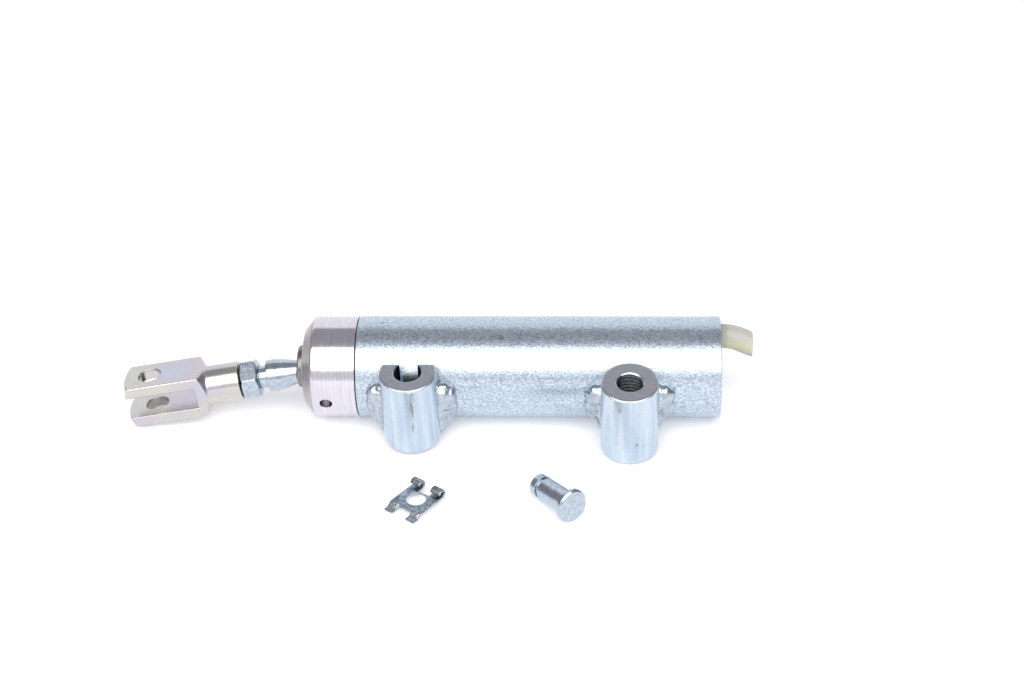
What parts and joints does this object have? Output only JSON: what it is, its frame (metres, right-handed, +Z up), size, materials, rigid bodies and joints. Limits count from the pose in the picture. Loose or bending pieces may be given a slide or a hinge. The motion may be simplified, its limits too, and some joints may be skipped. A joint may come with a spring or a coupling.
{
  "type": "pneumatic cylinder",
  "caption": "Short single-acting air cylinder with welded side bosses, a swivelling push rod, jam nut and clevis fork, with its loose clevis pin and spring clip.",
  "frame": {"origin": "centre of the rear end face, on the tube's axis", "axes": "+X along the tube's axis out of the rear end, so the rod points to -X; +Z up as the cylinder lies on a bench; the bosses are on the -Y side"},
  "size_m": [0.225, 0.0874, 0.036],
  "materials": {
    "zinc_plate": "blue-white zinc plate, satin",
    "weld_bead": "zinc plated weld metal, rippled",
    "turned_aluminium": "fine turned finish",
    "turned_steel": "fine turned steel",
    "yellow_zinc": "iridescent passivated zinc",
    "spring_steel": "drawn spring wire and dark spring strip",
    "bearing_bronze": "sintered bronze",
    "seal_rubber": "matt black",
    "natural_nylon": "translucent cream"
  },
  "bodies": {
    "barrel": {"barrel_tube": "zinc_plate", "rear_cover": "zinc_plate", "rear_cover_weld": "weld_bead", "front_boss": "zinc_plate", "rear_boss": "zinc_plate", "front_boss_weld_left": "weld_bead", "front_boss_weld_right": "weld_bead", "rear_boss_weld_left": "weld_bead", "rear_boss_weld_right": "weld_bead", "front_cap": "turned_aluminium", "cap_seal_ring": "seal_rubber", "rod_guide_bush": "bearing_bronze", "rod_wiper": "seal_rubber", "spring_seat_washer": "zinc_plate", "return_spring": "spring_steel", "air_elbow": "natural_nylon", "port_seal": "seal_rubber"},
    "piston": {"piston": "turned_aluminium", "piston_lip_seal": "seal_rubber", "piston_guide_ring": "natural_nylon", "piston_nut": "zinc_plate", "trunk_rod": "turned_steel", "ball_retainer": "bearing_bronze", "snap_ring": "spring_steel"},
    "ball_seat": {"ball_seat_cup": "bearing_bronze"},
    "push_rod": {"push_rod": "zinc_plate"},
    "fork": {"jam_nut": "zinc_plate", "clevis_fork": "yellow_zinc"},
    "clevis_pin": {"clevis_pin": "zinc_plate"},
    "pin_clip": {"pin_clip": "spring_steel"}
  },
  "joints": [
    {"name": "piston_slide", "type": "slide", "parent": "barrel", "child": "piston", "axis": [-1, 0, 0], "range_m": [0, 0.06], "stiffness_N_per_m": 1850, "springref_m": -0.02, "deforming": ["return_spring"]},
    {"name": "rod_pitch", "type": "hinge", "parent": "piston", "child": "ball_seat", "pos_m": [-0.1385, 0, 0], "axis": [0, 1, 0], "range_deg": [-1.5, 16.5]},
    {"name": "rod_yaw", "type": "hinge", "parent": "ball_seat", "child": "push_rod", "pos_m": [-0.1385, 0, 0], "axis": [-0.1305, 0, 0.9914], "range_deg": [-13.8, 4.2]},
    {"name": "fork_turn", "type": "hinge", "parent": "push_rod", "child": "fork", "pos_m": [-0.1385, 0, 0], "axis": [-0.988, -0.0837, -0.1301], "continuous": true},
    {"name": "pin_lift", "type": "slide", "parent": "barrel", "child": "clevis_pin", "axis": [0, 0, 1], "range_m": [0, 0.05]},
    {"name": "clip_lift", "type": "slide", "parent": "barrel", "child": "pin_clip", "axis": [0, 0, 1], "range_m": [0, 0.05]}
  ]
}
